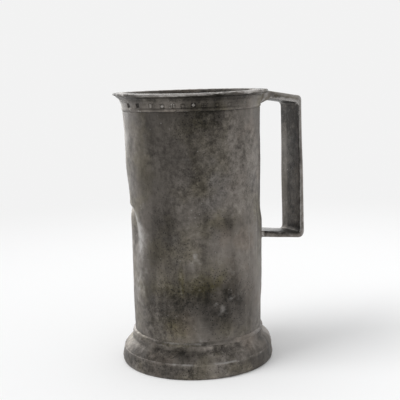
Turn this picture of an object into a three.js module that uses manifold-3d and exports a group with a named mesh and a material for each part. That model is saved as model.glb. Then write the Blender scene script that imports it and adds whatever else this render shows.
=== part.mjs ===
// Pewter tankard: a cylindrical wine measure of one litre, with an open mouth and a flat strap handle.
// It is soldered together from castings: a tapered drum, a collar with a flared lip, a foot ring,
// a bottom disc and the handle, with a run or a blob of solder at each joint.
// Millimetres, +Z up. The handle points along +X and the foot stands on Z = 0.
import * as THREE from 'three';
import { mergeVertices } from 'three/addons/utils/BufferGeometryUtils.js';
import Module from 'manifold-3d';

const wasm = await Module();
wasm.setup();

// ---- driving dimensions -------------------------------------------------------------------------

const TOTAL_HEIGHT = 182;
const SEAM_GAP = 0.3;              // room left between two castings where solder would run
const ROUND_SEGMENTS = 72;

const WALL = 2.2;
const DRUM_BASE = 4.5;             // lower end of the drum, inside the foot
const DRUM_TOP = 170;
const DRUM_RADIUS_LOW = 43;        // outer radius at DRUM_BASE
const DRUM_RADIUS_HIGH = 45.2;     // outer radius at DRUM_TOP

const LIP_RADIUS = 51.5;
const LIP_EDGE = 1.8;              // height of the lip's upright edge
const LIP_CHAMFER = 0.5;
const MOUTH_CHAMFER = { width: 1.4, height: 1.8 };   // the rounding from the rim into the bore
const BAND_RADIUS_LOW = 45.6;
const BAND_RADIUS_HIGH = 46.2;     // the band flares a little towards the lip
const BAND_RIDGE = 0.6;            // how far the fillet under the band stands out
const RIDGE_HEIGHT = { low: 0.8, middle: 1.4, high: 2 };   // of that fillet, above DRUM_TOP
const RIDGE_ROUNDING = 0.3;
const BAND_BEAD = 0.4;             // how far the bead above the band stands out
const BEAD_HEIGHT = 0.6;
const BAND_LOW = 172.4;
const BAND_HIGH = 175.4;
const COVE_LOW = 176.9;

const FOOT_RADIUS = 51.6;
const FOOT_STAND = 49.5;           // outer radius of the face that the mug stands on
const UNDER_EDGE = 3;              // height up to which the foot's lower edge is rounded
const PLINTH_HEIGHT = 10.4;
const PLINTH_TOP_RADIUS = 50.6;    // the plinth leans in towards its top
const PLINTH_TOP_EDGE = 0.4;
const SHOULDER_ARC = 9.4;          // radius of the foot's rounded shoulder
const SHOULDER_CENTRE = { radius: 41.2, height: 7.8 };
const SHOULDER_TURN = { from: 18.5, to: 66 };
const NECK_RADIUS = 44.6;          // the short neck above the shoulder
const NECK_LOW = 17.4;
const FOOT_HEIGHT = 20.1;
const FOOT_BORE = 43.55;
const FOOT_HOLLOW = 46.8;          // radius of the hollow under the foot
const LEDGE_RADIUS = 38.5;         // the ledge that carries the bottom disc reaches in to here
const LEDGE_LOW = 2.2;

const BOTTOM_THICKNESS = 2.5;
const BOTTOM_BEAD = 1.6;           // leg of the solder round the inside of the floor
const FOOT_BEAD = 2.3;             // height of the solder between foot and drum

const HANDLE_REACH = 84.8;         // the mug's axis to the handle's outermost face
const HANDLE_REACH_TOP = 83.4;
const HANDLE_WIDTH = 22;
const HANDLE_EDGE = 0.7;           // rounding of the strap's long edges
const HANDLE_ROOT = 42;            // the strap is drawn from here, then cut back to the drum
const GRIP_TOP_THICKNESS = 2.7;
const GRIP_LOW_THICKNESS = 4.4;
const OUTER_CORNER_TOP = 2.6;
const OUTER_CORNER_LOW = 6;
const INNER_CORNER = 3.5;
const UPPER_ARM = { root: 182.2, corner: 175.6, rootThickness: 6, cornerThickness: 5 };
const LOWER_ARM = { root: 83.9, corner: 78, rootThickness: 4.8, cornerThickness: 4.6 };
const UPPER_SOLDER = { reach: 15, drop: 7 };
const LOWER_SOLDER = { reach: 6, drop: 2.2 };
const SOLDER_WIDTH = 18;
const CLEAR_BELOW = 25;            // the handle's cutter reaches this far below the lower arm
const CLEAR_ABOVE = 5;             // and this far above the lip

// The origin is under the middle of the whole object, so the mug's axis stands off it along X.
const AXIS_X = (FOOT_RADIUS - HANDLE_REACH) / 2;

// ---- shape helpers ------------------------------------------------------------------------------

const at = (x, y) => new THREE.Vector2(x, y);

function arcPoints(centre, radius, fromDegrees, toDegrees, steps) {
  const points = [];
  for (let i = 0; i <= steps; i += 1) {
    const angle = THREE.MathUtils.degToRad(fromDegrees + (toDegrees - fromDegrees) * i / steps);
    points.push(at(centre.x + radius * Math.cos(angle), centre.y + radius * Math.sin(angle)));
  }
  return points;
}

// Turns a closed section, radius by height and anticlockwise, about the vertical axis.
function turned(section) {
  const geometry = new THREE.LatheGeometry([...section, section[0]], ROUND_SEGMENTS);
  return geometry.rotateX(Math.PI / 2);
}

// A flat outline, radius by height, given a thickness across the handle's plane.
function strap(shape, width, edge) {
  const bevel = { bevelEnabled: true, bevelThickness: edge, bevelSize: edge, bevelOffset: -edge };
  const options = { ...bevel, bevelSegments: 2, curveSegments: 5, depth: width - 2 * edge };
  const geometry = new THREE.ExtrudeGeometry(shape, options);
  geometry.translate(0, 0, edge - width / 2);
  return geometry.rotateX(Math.PI / 2);
}

function solidOf(geometry) {
  const bare = geometry.clone();
  bare.deleteAttribute('normal');
  bare.deleteAttribute('uv');
  const merged = mergeVertices(bare, 1e-4);
  const vertProperties = new Float32Array(merged.attributes.position.array);
  const triVerts = new Uint32Array(merged.index.array);
  return new wasm.Manifold(new wasm.Mesh({ numProp: 3, vertProperties, triVerts }));
}

function geometryOf(solid) {
  const mesh = solid.getMesh();
  const geometry = new THREE.BufferGeometry();
  geometry.setAttribute('position', new THREE.BufferAttribute(mesh.vertProperties, 3));
  geometry.setIndex(new THREE.BufferAttribute(mesh.triVerts, 1));
  geometry.computeVertexNormals();
  return geometry;
}

const cutBy = (geometry, tool) => geometryOf(solidOf(geometry).subtract(solidOf(tool)));

function pewter(color, roughness) {
  return new THREE.MeshStandardMaterial({ color, roughness, metalness: 0.9 });
}

const tankard = new THREE.Group();
tankard.position.x = AXIS_X;

function addPiece(name, geometry, material) {
  const mesh = new THREE.Mesh(geometry, material);
  mesh.name = name;
  tankard.add(mesh);
}

const drumMetal = pewter(0x6b665f, 0.5);
const collarMetal = pewter(0x77726a, 0.42);
const footMetal = pewter(0x5f5a53, 0.5);
const handleMetal = pewter(0x716c64, 0.45);
const solderMetal = pewter(0x8a867d, 0.4);

// ---- drum: the tapered body wall ----------------------------------------------------------------

function drumRadius(height) {
  const taper = (DRUM_RADIUS_HIGH - DRUM_RADIUS_LOW) / (DRUM_TOP - DRUM_BASE);
  return DRUM_RADIUS_LOW + taper * (height - DRUM_BASE);
}

function drumGeometry() {
  return turned([
    at(DRUM_RADIUS_LOW - WALL, DRUM_BASE),
    at(DRUM_RADIUS_LOW, DRUM_BASE),
    at(DRUM_RADIUS_HIGH, DRUM_TOP),
    at(DRUM_RADIUS_HIGH - WALL, DRUM_TOP),
  ]);
}

addPiece('drum', drumGeometry(), drumMetal);

// ---- collar: the band with its two fillets and the flared lip -----------------------------------

// The outside of the collar from its seam up to the lip's edge, grown outwards by a clearance.
function collarFace(grow) {
  const low = BAND_RADIUS_LOW + grow;
  const high = BAND_RADIUS_HIGH + grow;
  const edgeLow = TOTAL_HEIGHT - LIP_EDGE - grow;
  const lip = LIP_RADIUS + grow;
  const cove = new THREE.QuadraticBezierCurve(
    at(high + 0.2, COVE_LOW - grow),
    at(high + 0.8, edgeLow - 0.6),
    at(lip - LIP_CHAMFER, edgeLow),
  );
  return [
    at(low, DRUM_TOP + SEAM_GAP),
    at(low + BAND_RIDGE - RIDGE_ROUNDING, DRUM_TOP + RIDGE_HEIGHT.low),
    at(low + BAND_RIDGE, DRUM_TOP + RIDGE_HEIGHT.middle),
    at(low + BAND_RIDGE - RIDGE_ROUNDING, DRUM_TOP + RIDGE_HEIGHT.high),
    at(low, BAND_LOW),
    at(high, BAND_HIGH),
    at(high + BAND_BEAD, BAND_HIGH + BEAD_HEIGHT),
    ...cove.getPoints(6),
    at(lip, edgeLow + LIP_CHAMFER),
  ];
}

function collarGeometry() {
  const inside = DRUM_RADIUS_HIGH - WALL;
  return turned([
    at(inside, DRUM_TOP + SEAM_GAP),
    ...collarFace(0),
    at(LIP_RADIUS, TOTAL_HEIGHT - LIP_CHAMFER),
    at(LIP_RADIUS - LIP_CHAMFER, TOTAL_HEIGHT),
    at(inside + MOUTH_CHAMFER.width, TOTAL_HEIGHT),
    at(inside + 0.2 * MOUTH_CHAMFER.width, TOTAL_HEIGHT - 0.35 * MOUTH_CHAMFER.height),
    at(inside, TOTAL_HEIGHT - MOUTH_CHAMFER.height),
  ]);
}

addPiece('lip_collar', collarGeometry(), collarMetal);

// ---- foot: plinth, rounded shoulder and the ledge under the bottom ------------------------------

function footGeometry() {
  const centre = at(SHOULDER_CENTRE.radius, SHOULDER_CENTRE.height);
  const ledgeTop = DRUM_BASE - SEAM_GAP;
  const underEdge = new THREE.QuadraticBezierCurve(
    at(FOOT_STAND, 0),
    at(FOOT_RADIUS - 0.5, 0.5),
    at(FOOT_RADIUS, UNDER_EDGE),
  );
  return turned([
    at(FOOT_HOLLOW, 0),
    ...underEdge.getPoints(4),
    at(PLINTH_TOP_RADIUS + 0.3, (UNDER_EDGE + PLINTH_HEIGHT) / 2),
    at(PLINTH_TOP_RADIUS, PLINTH_HEIGHT - 3 * PLINTH_TOP_EDGE),
    at(PLINTH_TOP_RADIUS, PLINTH_HEIGHT - PLINTH_TOP_EDGE),
    at(PLINTH_TOP_RADIUS - PLINTH_TOP_EDGE, PLINTH_HEIGHT),
    ...arcPoints(centre, SHOULDER_ARC, SHOULDER_TURN.from, SHOULDER_TURN.to, 6),
    at(NECK_RADIUS, NECK_LOW),
    at(NECK_RADIUS, FOOT_HEIGHT),
    at(FOOT_BORE, FOOT_HEIGHT),
    at(FOOT_BORE, ledgeTop),
    at(LEDGE_RADIUS, ledgeTop),
    at(LEDGE_RADIUS, LEDGE_LOW),
    at(FOOT_HOLLOW - 1.2, LEDGE_LOW),
  ]);
}

addPiece('foot_ring', footGeometry(), footMetal);

// ---- bottom disc, dropped into the drum onto the foot's ledge -----------------------------------

const FLOOR = DRUM_BASE + BOTTOM_THICKNESS;
const bottomRadius = DRUM_RADIUS_LOW - WALL - SEAM_GAP;

function bottomGeometry() {
  const profile = [at(0, DRUM_BASE), at(bottomRadius, DRUM_BASE), at(bottomRadius, FLOOR), at(0, FLOOR)];
  return new THREE.LatheGeometry(profile, ROUND_SEGMENTS).rotateX(Math.PI / 2);
}

addPiece('bottom_disc', bottomGeometry(), drumMetal);

// ---- solder runs: round the floor's edge inside, and round the foot's shoulder outside ----------

function floorSolderGeometry() {
  const low = FLOOR + SEAM_GAP;
  return turned([
    at(bottomRadius - BOTTOM_BEAD, low),
    at(bottomRadius, low),
    at(bottomRadius, low + BOTTOM_BEAD),
    at(bottomRadius - 0.35 * BOTTOM_BEAD, low + 0.4 * BOTTOM_BEAD),
  ]);
}

function footSolderGeometry() {
  const low = FOOT_HEIGHT + SEAM_GAP;
  const inner = drumRadius(low + FOOT_BEAD) + SEAM_GAP;
  return turned([
    at(inner, low),
    at(inner + 1.2, low),
    at(inner + 0.95, low + 0.45 * FOOT_BEAD),
    at(inner + 0.3, low + FOOT_BEAD),
    at(inner, low + FOOT_BEAD),
  ]);
}

addPiece('floor_solder', floorSolderGeometry(), solderMetal);
addPiece('foot_solder', footSolderGeometry(), solderMetal);

// ---- handle: one strap, square at both corners, cut back to the drum and collar -----------------

// Everything the handle must stay clear of: the drum and the collar, grown by the seam gap.
function mugClearance() {
  const low = LOWER_ARM.corner - CLEAR_BELOW;
  return turned([
    at(1, low),
    at(drumRadius(low) + SEAM_GAP, low),
    at(DRUM_RADIUS_HIGH + SEAM_GAP, DRUM_TOP),
    ...collarFace(SEAM_GAP),
    at(LIP_RADIUS + SEAM_GAP, TOTAL_HEIGHT + CLEAR_ABOVE),
    at(1, TOTAL_HEIGHT + CLEAR_ABOVE),
  ]);
}

// Height of an arm's upper or lower side where it is a given distance from the mug's axis.
function armHeight(arm, side, reach, distance) {
  const root = side === 'upper' ? arm.root : arm.root - arm.rootThickness;
  const corner = side === 'upper' ? arm.corner : arm.corner - arm.cornerThickness;
  return root + (corner - root) * (distance - HANDLE_ROOT) / (reach - HANDLE_ROOT);
}

// A run of straight lines whose inner points are rounded with their own radius.
function roundedPath(corners) {
  const shape = new THREE.Shape();
  shape.moveTo(corners[0].point.x, corners[0].point.y);
  for (let i = 1; i < corners.length; i += 1) {
    const { point, radius } = corners[i];
    if (!radius) {
      shape.lineTo(point.x, point.y);
      continue;
    }
    const before = corners[i - 1].point.clone().sub(point).setLength(radius).add(point);
    const after = corners[i + 1].point.clone().sub(point).setLength(radius).add(point);
    shape.lineTo(before.x, before.y);
    shape.quadraticCurveTo(point.x, point.y, after.x, after.y);
  }
  return shape;
}

function handleOutline() {
  const innerTop = HANDLE_REACH_TOP - GRIP_TOP_THICKNESS;
  const innerLow = HANDLE_REACH - GRIP_LOW_THICKNESS;
  const upper = (side, x) => at(x, armHeight(UPPER_ARM, side, HANDLE_REACH_TOP, x));
  const lower = (side, x) => at(x, armHeight(LOWER_ARM, side, HANDLE_REACH, x));
  return roundedPath([
    { point: lower('lower', HANDLE_ROOT) },
    { point: lower('lower', HANDLE_REACH), radius: OUTER_CORNER_LOW },
    { point: upper('upper', HANDLE_REACH_TOP), radius: OUTER_CORNER_TOP },
    { point: upper('upper', HANDLE_ROOT) },
    { point: upper('lower', HANDLE_ROOT) },
    { point: upper('lower', innerTop), radius: INNER_CORNER },
    { point: lower('upper', innerLow), radius: INNER_CORNER },
    { point: lower('upper', HANDLE_ROOT) },
  ]);
}

const clearance = mugClearance();
addPiece('handle', cutBy(strap(handleOutline(), HANDLE_WIDTH, HANDLE_EDGE), clearance), handleMetal);

// ---- handle solder: a hollow-faced fillet under the root of each arm ----------------------------

function armSolder(arm, reach, size) {
  const wall = drumRadius(arm.root) + SEAM_GAP;
  const tip = wall + size.reach;
  const tipHeight = armHeight(arm, 'lower', reach, tip) - SEAM_GAP;
  const rootHeight = armHeight(arm, 'lower', reach, HANDLE_ROOT) - SEAM_GAP;
  const shape = new THREE.Shape();
  shape.moveTo(HANDLE_ROOT, rootHeight);
  shape.lineTo(HANDLE_ROOT, rootHeight - size.drop);
  shape.lineTo(wall, rootHeight - size.drop);
  shape.quadraticCurveTo(wall + 0.35 * size.reach, tipHeight - 0.3 * size.drop, tip, tipHeight - 0.3);
  shape.lineTo(tip, tipHeight);
  return cutBy(strap(shape, SOLDER_WIDTH, 0.1), clearance);
}

addPiece('upper_arm_solder', armSolder(UPPER_ARM, HANDLE_REACH_TOP, UPPER_SOLDER), solderMetal);
addPiece('lower_arm_solder', armSolder(LOWER_ARM, HANDLE_REACH, LOWER_SOLDER), solderMetal);

const model = new THREE.Group();
model.add(tankard);

export default model;
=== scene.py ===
"""An old pewter measure used as a tankard: dented drum, flared lip with a punched band, moulded foot,
flat strap handle. Each CAD piece is replaced by a finer mesh in the same place, with aged pewter made
of shader nodes. Shapes are worked out in millimetres about the mug's own axis, then put in metres."""
import math
import random

import bpy
import numpy as np
from mathutils import Matrix, Vector


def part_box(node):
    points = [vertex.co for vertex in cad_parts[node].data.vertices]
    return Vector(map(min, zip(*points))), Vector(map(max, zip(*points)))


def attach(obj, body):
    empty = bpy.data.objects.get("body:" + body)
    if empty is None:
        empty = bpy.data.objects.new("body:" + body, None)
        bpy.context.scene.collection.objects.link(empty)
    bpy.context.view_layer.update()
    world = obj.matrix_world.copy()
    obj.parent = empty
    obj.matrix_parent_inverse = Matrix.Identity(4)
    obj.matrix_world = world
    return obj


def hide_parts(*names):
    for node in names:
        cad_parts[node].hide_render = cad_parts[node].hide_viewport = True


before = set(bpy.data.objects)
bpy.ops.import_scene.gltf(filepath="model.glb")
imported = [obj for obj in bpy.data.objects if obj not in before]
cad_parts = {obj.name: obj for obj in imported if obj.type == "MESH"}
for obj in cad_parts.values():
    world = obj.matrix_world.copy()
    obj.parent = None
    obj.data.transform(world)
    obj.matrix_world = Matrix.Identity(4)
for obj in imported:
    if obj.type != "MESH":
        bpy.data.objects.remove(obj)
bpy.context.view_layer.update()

MM = 0.001
FULL_TURN = 2 * math.pi

# ---- sizes read from the frame, in millimetres ----


def node_box(node):
    low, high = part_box(node)
    return low / MM, high / MM


drum_low, drum_high = node_box("drum")
lip_low, lip_high = node_box("lip_collar")
foot_low, foot_high = node_box("foot_ring")
disc_low, disc_high = node_box("bottom_disc")
handle_low, handle_high = node_box("handle")

AXIS_X = (drum_low.x + drum_high.x) / 2
RIM_TOP = lip_high.z
LIP_RADIUS = (lip_high.x - lip_low.x) / 2
FOOT_RADIUS = (foot_high.x - foot_low.x) / 2
SHOULDER_TOP = foot_high.z
DRUM_BASE = drum_low.z
DRUM_TOP = drum_high.z
DRUM_TOP_RADIUS = (drum_high.x - drum_low.x) / 2
DISC_RADIUS = (disc_high.x - disc_low.x) / 2
FLOOR = disc_high.z
HANDLE_REACH = handle_high.x - AXIS_X
HANDLE_WIDTH = handle_high.y - handle_low.y

# Sizes that no box of the frame gives by itself, in millimetres.
WALL = 2.2
SEAM_GAP = 0.3  # between two castings
DRUM_BASE_RADIUS = DISC_RADIUS + WALL + SEAM_GAP
BORE = DRUM_TOP_RADIUS - WALL
BAND_RADIUS = 45.6  # at the foot of the band, which flares by BAND_FLARE up to its head
BAND_FLARE = 0.6
BAND_LOW = 172.4
BAND_HIGH = 175.4
RIDGE = 171.4  # the fillet under the band
UNDER_RIM = RIM_TOP - 0.6  # nothing of the handle stands higher than this inside the lip

VIEW_AZIMUTH = -30  # how far round the mug the camera stands
FRONT = math.radians(VIEW_AZIMUTH - 90)  # the direction from the mug's axis to the camera


def seen(degrees):
    """An angle round the mug: 0 faces the camera, -90 is the left side seen there, 90 the right."""
    return FRONT + np.radians(degrees)


# ---- smooth random relief ----


def ripples(seed, count, around, wavelength, size):
    """A relief on the mug in mm: waves with whole numbers of turns round it, so that it closes."""
    draw = random.Random(seed)
    waves = []
    for _ in range(count):
        turns = draw.randint(*around)
        rise = FULL_TURN / draw.uniform(*wavelength) * draw.choice((-1, 1))
        waves.append((turns, rise, draw.uniform(0, FULL_TURN)))
    scale = size * math.sqrt(2 / count)

    def height(angle, z):
        return scale * sum(np.cos(turns * angle + rise * z + phase) for turns, rise, phase in waves)

    return height


def turn_between(angle, centre):
    """The signed angle from centre to angle, in radians from -pi to pi."""
    return (angle - centre + math.pi) % FULL_TURN - math.pi


def bell(value, width):
    """1 where the value is 0, falling to 0 on both sides."""
    return np.exp(-0.5 * (value / width) ** 2)


def near(angle, at, width):
    """1 at a seen angle, falling to 0 on both sides of it. at and width are in degrees."""
    return bell(turn_between(angle, seen(at)), math.radians(width))


def ease(value):
    """A smooth step from 0 to 1, as the value goes from 0 to 1."""
    value = np.clip(value, 0, 1)
    return value * value * (3 - 2 * value)


# ---- how the whole mug is out of true ----

broad_waves = ripples(3, 10, (2, 5), (120, 260), 0.16)
small_waves = ripples(8, 26, (6, 17), (22, 60), 0.05)

# The knock in the left side: a furrow that comes in from the left at its top end, bends, and runs
# down the drum, fading out. Its near wall is wide and fades into the drum. Its far wall is short.
FURROW_TOP = 108.5
FURROW_BOTTOM = 36
FURROW_DEPTH = 3.4
FURROW_NEAR_WALL = math.radians(23)
FURROW_FAR_WALL = math.radians(8)
FURROW_PLACE = -68  # the seen angle of its bottom, in degrees
FURROW_ENTRY = 16  # it starts this much further left
FURROW_DRIFT = 6  # and ends this much further left
LEFT_SIDE = -92  # the seen angle of the mug's left side


def furrow_line(z):
    """The angle of the furrow's bottom at a height."""
    bend = np.exp(-np.clip(106 - z, 0, None) / 7)
    return seen(FURROW_PLACE - FURROW_ENTRY * bend - FURROW_DRIFT * ease((88 - z) / 50))


def dent(angle, z):
    """The knock: the furrow, in a hollow 1 to 1.5 mm deep that is centred on the mug's left side."""
    across = turn_between(angle, furrow_line(z))
    near_wall = np.clip(1 - np.abs(across) / FURROW_NEAR_WALL, 0, None) ** 1.3
    profile = np.where(across > 0, near_wall, bell(across, FURROW_FAR_WALL))
    deep = 0.25 + 0.75 * ease((z - 66) / 26)
    fade = ease((FURROW_TOP - z) / 4) * deep * ease((z - FURROW_BOTTOM) / 22)
    hollow = near(angle, LEFT_SIDE, 26)
    hollow = hollow * ease((138 - z) / 28) * ease((z - 36) / 52) * (1.0 + 0.5 * ease((z - 98) / 10))
    return -FURROW_DEPTH * fade * profile - hollow


def flats(angle, z):
    """Two faint upright ridges down the front, left by working the metal flat between them."""
    left = near(angle, -14, 2.6) * ease((130 - z) / 30)
    right = near(angle, 22, 3.2) * ease((z - 35) / 40)
    return 0.16 * left + 0.14 * right


def sway(z):
    """How far the mug stands to the right of its axis at a height, as the camera sees it: the foot
    and the lip both sit a little to the left of the drum."""
    upper = -0.2 - 0.65 * ease((z - 176) / 3)
    return upper + 0.2 * ease((105 - z) / 12) - 0.75 * ease((22 - z) / 4)


def out_of_true(angle, z):
    """How far the mug's wall stands out from its true shape at a place, in mm: waves that the foot
    and the lip hold back, the knock, a fuller right side, and a wider top on the left."""
    fuller = 0.8 * ease((z - 36) / 14) * ease((104 - z) / 10) + 0.45 * ease((z - 108) / 30)
    fuller = fuller * near(angle, 90, 40)
    wider = 0.7 * near(angle, -90, 50) * ease((z - 156) / 14) * ease((RIM_TOP - 2 - z) / 3)
    held = ease((z - 12) / 30) * ease((RIM_TOP + 14 - z) / 40)
    waves = broad_waves(angle, z) + small_waves(angle, z) + flats(angle, z)
    return held * waves + dent(angle, z) + fuller + wider + sway(z) * np.cos(angle - seen(90))


# ---- mesh building ----

ARC_STEP = 0.35  # between two points of a rounded corner
WEAR_REACH = 0.8  # how far a corner's wear reaches along the lines beside it


def corner_arc(before, here, after, rounding):
    """Points round a corner, rounded by an arc of this radius, or of a smaller one if the lines beside
    it are too short."""
    back, on = before - here, after - here
    back_length, on_length = np.linalg.norm(back), np.linalg.norm(on)
    back, on = back / back_length, on / on_length
    inside = math.acos(np.clip(back @ on, -1, 1))
    run = min(rounding / math.tan(inside / 2), 0.49 * back_length, 0.49 * on_length)
    radius = run * math.tan(inside / 2)
    bisector = (back + on) / np.linalg.norm(back + on)
    centre = here + bisector * radius / math.sin(inside / 2)
    first, last = here + back * run - centre, here + on * run - centre
    sweep = math.pi - inside
    steps = min(max(3, round(radius * sweep / ARC_STEP)), 12)
    arc = []
    for k in range(steps + 1):
        t = k / steps
        from_first = math.sin((1 - t) * sweep) / math.sin(sweep)
        from_last = math.sin(t * sweep) / math.sin(sweep)
        arc.append(centre + from_first * first + from_last * last)
    return arc


def rounded_section(corners, closed=True):
    """Points along a section in radius and height. Each corner is (radius, height, rounding, wear,
    spacing of the points on the line that follows it). Returns the points and the wear at each."""
    count = len(corners)
    places = [np.array(corner[:2], float) for corner in corners]
    ends = []
    for i, here in enumerate(places):
        rounding = corners[i][2]
        if not closed and i in (0, count - 1) or rounding == 0:
            ends.append([here])
        else:
            ends.append(corner_arc(places[i - 1], here, places[(i + 1) % count], rounding))
    points, wears = [], []
    for i, (_, _, _, wear_and_highlight, spacing) in enumerate(corners):
        points += ends[i]
        wears += [wear_and_highlight] * len(ends[i])
        if not closed and i == count - 1:
            break
        start, stop = ends[i][-1], ends[(i + 1) % count][0]
        length = np.linalg.norm(stop - start)
        next_wear = corners[(i + 1) % count][3]
        pieces = max(1, round(length / spacing))
        for k in range(1, pieces):
            t = k / pieces
            points.append(start + (stop - start) * t)
            from_here = wear_and_highlight * math.exp(-t * length / WEAR_REACH)
            from_next = next_wear * math.exp(-(1 - t) * length / WEAR_REACH)
            wears.append(from_here + from_next)
    return np.array(points), np.array(wears)


def linked(name, data):
    """A new object in the scene, which shows a mesh, a light or a camera."""
    made = bpy.data.objects.new(name, data)
    bpy.context.collection.objects.link(made)
    return made


def object_from(name, vertices, faces, layers):
    """A smooth mesh object from points in mm, with one float attribute for each layer."""
    mesh = bpy.data.meshes.new(name)
    mesh.from_pydata((np.asarray(vertices) * MM).tolist(), [], faces)
    mesh.validate()
    for layer, values in layers.items():
        attribute = mesh.attributes.new(layer, "FLOAT", "POINT")
        attribute.data.foreach_set("value", np.asarray(values, np.float32))
    mesh.shade_smooth()
    return linked(name, mesh)


def wrap_faces(rows, columns, close_columns):
    """Quads of a grid whose rows close round, in one direction."""
    faces = []
    last = columns if close_columns else columns - 1
    for i in range(rows):
        j = (i + 1) % rows
        for k in range(last):
            m = (k + 1) % columns
            faces.append((i * columns + k, j * columns + k, j * columns + m, i * columns + m))
    return faces


def tube_faces(rings, columns, inside_out=False):
    """Faces of a closed tube of rings of points, with an end face on its first and its last ring."""
    faces = []
    for i in range(rings - 1):
        for k in range(columns):
            m = (k + 1) % columns
            low, high = i * columns, (i + 1) * columns
            faces.append((low + k, low + m, high + m, high + k))
    faces.append(tuple(reversed(range(columns))))
    faces.append(tuple(range((rings - 1) * columns, rings * columns)))
    if inside_out:
        faces = [(face[0], *reversed(face[1:])) for face in faces]
    return faces


def even_angles(count):
    return np.arange(count) * FULL_TURN / count


def uneven_angles(start, stop, fine, coarse):
    """Angles round the mug: fine steps from one seen angle to another, and coarse steps on from there."""
    close = np.linspace(seen(start), seen(stop), fine, endpoint=False)
    wide = np.linspace(seen(stop), seen(start) + FULL_TURN, coarse, endpoint=False)
    return np.concatenate([close, wide])


def revolve(name, corners, angles, relief, grime_and_shade, closed=True, warp=1.0, rubbed_and_lit=None):
    """Turns a section about the mug's axis. The relief pushes the surface out along the section's own
    normal, and then the way the whole mug is out of true moves it, times warp. An open section has both
    ends on the axis. grime_and_shade says how stained a place is and where shade or light is painted on
    it, and rubbed_and_lit how worn it is and where a highlight is painted on it; rubbed_and_lit comes on
    top of the section's own wear."""
    section, wear_and_highlight = rounded_section(corners, closed)
    if closed:
        ahead, behind = np.roll(section, -1, 0), np.roll(section, 1, 0)
    else:
        ahead = np.vstack([section[1:], section[-1:]])
        behind = np.vstack([section[:1], section[:-1]])
    along = ahead - behind
    along /= np.linalg.norm(along, axis=1, keepdims=True)
    normal = np.stack([along[:, 1], -along[:, 0]], 1)
    angle = angles[:, None]
    r = np.broadcast_to(section[:, 0], (len(angles), len(section)))
    z = np.broadcast_to(section[:, 1], r.shape)
    push = relief(angle, r, z, normal)
    radius = r + push * normal[:, 0]
    height = z + push * normal[:, 1]
    radius = np.where(r > 1, radius + warp * out_of_true(angle, z) * np.clip(r / 40, 0, 1), r)
    points = np.stack([AXIS_X + radius * np.cos(angle), radius * np.sin(angle), height], 2)
    worn_and_lit = wear_and_highlight + (np.zeros(r.shape) if rubbed_and_lit is None else rubbed_and_lit(angle, r, z))
    darkening = grime_and_shade(angle, r, z) + np.zeros(r.shape)
    layers = {"wear_and_highlight": worn_and_lit, "grime_and_shade": darkening}
    if closed:
        layers["olive"] = spots(OLIVE_STAINS, angle, z)
        faces = wrap_faces(len(angles), len(section), True)
        layers = {layer: values.reshape(-1) for layer, values in layers.items()}
        return object_from(name, points.reshape(-1, 3), faces, layers)
    inner = len(section) - 2
    faces = wrap_faces(len(angles), inner, False)
    vertices = np.vstack([points[:, 1:-1].reshape(-1, 3), points[0, :1], points[0, -1:]])
    first, last = len(vertices) - 2, len(vertices) - 1
    for i in range(len(angles)):
        j = (i + 1) % len(angles)
        faces.append((first, j * inner, i * inner))
        faces.append((last, i * inner + inner - 1, j * inner + inner - 1))
    for layer, values in layers.items():
        layers[layer] = np.append(values[:, 1:-1].reshape(-1), [values[0, 0], values[0, -1]])
    return object_from(name, vertices, faces, layers)


# ---- where the metal is stained, and where light and shade are painted ----

# Stains and painted light on the mug's outside: seen angle, height, half width in degrees, half height
# in mm, and strength: dark above zero, light below it.
STAINS_AND_PAINTED_LIGHT = (
    (4, 166, 12, 8, 1.15),
    # painted shade under the lip: this entry and the next two darken the band and the cove
    (20, 175, 15, 5, 1.1),
    (-14, 178.5, 30, 1.6, 0.4),
    (42, 178, 8, 4, 0.5),
    (8, 150, 10, 12, 0.35),
    (-2, 130, 12, 14, 0.3),
    (-30, 96, 8, 10, 0.9),
    (-35, 78, 8, 6, 0.7),
    (28, 98, 9, 5, 1.1),
    (-10, 54, 27, 8, 0.95),
    (-8, 43, 16, 7, 0.45),
    (30, 46, 15, 11, 1.1),
    (28, 62, 14, 8, 0.5),
    (17, 36, 8, 5, 1.2),
    (-22, 38, 12, 9, 0.7),
    (-55, 60, 10, 9, 0.35),
    (-25, 16, 13, 2, 0.9),
    (5, 15.5, 14, 1.6, 0.7),
    (-44, 14, 12, 4, 0.6),
    (-62, 12, 10, 5, 0.5),
    (60, 12, 14, 5, 0.3),
    (20, 17, 9, 3, 0.35),
    (-11, 79, 11, 14, 0.6),
    # painted highlights: this entry lightens the right side, and the next the pale band down the left side
    (44, 120, 12, 40, -0.3),
    (-72, 70, 13, 28, -1.0),
    (110, 80, 22, 26, 0.7),
    (150, 130, 20, 20, 0.6),
    (190, 50, 26, 20, 0.8),
    (230, 120, 18, 30, 0.6),
    (250, 40, 20, 14, 0.7),
)

# Small rubbed or chipped places, given in the same way.
RUBS = (
    (-3, 74, 4.0, 3.0, 0.30),
    (-1, 79, 1.5, 1.5, 0.55),
    (-13, 66, 0.9, 8.0, 0.33),
    (-14, 60, 0.9, 3.0, 0.40),
    (21, 44, 3.0, 3.5, 0.27),
    (15, 48, 2.0, 2.0, 0.35),
    (25, 104, 5.0, 3.0, 0.35),
    (-33, 158, 2.0, 2.0, 0.45),
    (200, 90, 3.0, 6.0, 0.25),
    (160, 60, 2.0, 9.0, 0.25),
)

# Yellow-green tarnish, given in the same way.
OLIVE_STAINS = (
    (-13, 62, 1.2, 6.0, 1.0),
    (14, 62, 9.0, 7.0, 0.7),
    (-8, 58, 20.0, 5.0, 0.45),
    (-20, 31, 9.0, 8.0, 0.5),
    (22, 101, 10.0, 4.0, 0.4),
    (6, 166, 10.0, 8.0, 0.4),
    (215, 70, 12.0, 14.0, 0.6),
    (140, 44, 9.0, 12.0, 0.5),
)


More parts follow.
